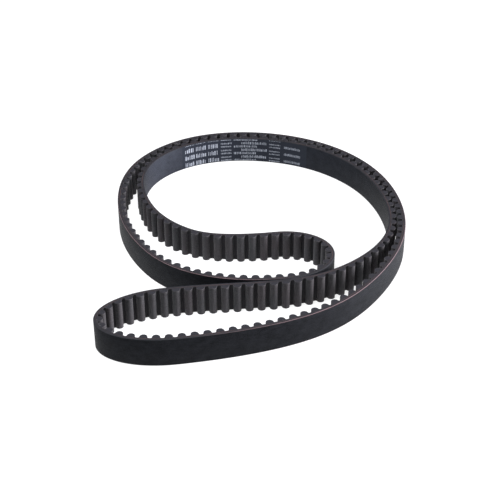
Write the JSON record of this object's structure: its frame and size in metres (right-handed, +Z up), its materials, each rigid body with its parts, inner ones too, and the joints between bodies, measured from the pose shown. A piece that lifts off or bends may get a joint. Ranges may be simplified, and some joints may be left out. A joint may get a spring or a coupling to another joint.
{
  "type": "timing belt",
  "caption": "Endless rubber timing belt with round-topped teeth on the inside, pressed into a double run and coiled on its edge with an open lobe at each end.",
  "frame": {"origin": "on the floor, under the middle of the coil's outline", "axes": "+Z up, across the belt's width; +Y to the back of the coil, -Y to the front lobe; +X right"},
  "size_m": [0.208, 0.2718, 0.02],
  "materials": {
    "backing_rubber": "smooth dark blue-black rubber, faint bloom",
    "tensile_cord": "red-brown dipped glass-fibre cord",
    "tooth_rubber": "cut rubber, matt",
    "nylon_facing": "fine woven nylon, warm dark grey",
    "panel_print": "thin silver-grey transfer print"
  },
  "bodies": {
    "coil": {"coil_outer_run_backing": "backing_rubber", "coil_outer_run_cords": "tensile_cord", "coil_outer_run_teeth": "tooth_rubber", "coil_outer_run_facing": "nylon_facing", "coil_inner_run_backing": "backing_rubber", "coil_inner_run_cords": "tensile_cord", "coil_inner_run_teeth": "tooth_rubber", "coil_inner_run_facing": "nylon_facing", "printed_panel": "panel_print"},
    "front_lobe": {"front_lobe_backing": "backing_rubber", "front_lobe_cords": "tensile_cord", "front_lobe_teeth": "tooth_rubber", "front_lobe_facing": "nylon_facing"},
    "inner_lobe": {"inner_lobe_backing": "backing_rubber", "inner_lobe_cords": "tensile_cord", "inner_lobe_teeth": "tooth_rubber", "inner_lobe_facing": "nylon_facing"}
  },
  "joints": [
    {"name": "front_lobe_bend", "type": "hinge", "parent": "coil", "child": "front_lobe", "pos_m": [0.09724, -0.02891, 0.01], "axis": [0, 0, 1], "range_deg": [0, 15], "stiffness_Nm_per_rad": 0.3},
    {"name": "inner_lobe_bend", "type": "hinge", "parent": "coil", "child": "inner_lobe", "pos_m": [-0.08377, 0.04861, 0.01], "axis": [0, 0, 1], "range_deg": [0, 12], "stiffness_Nm_per_rad": 0.3}
  ]
}
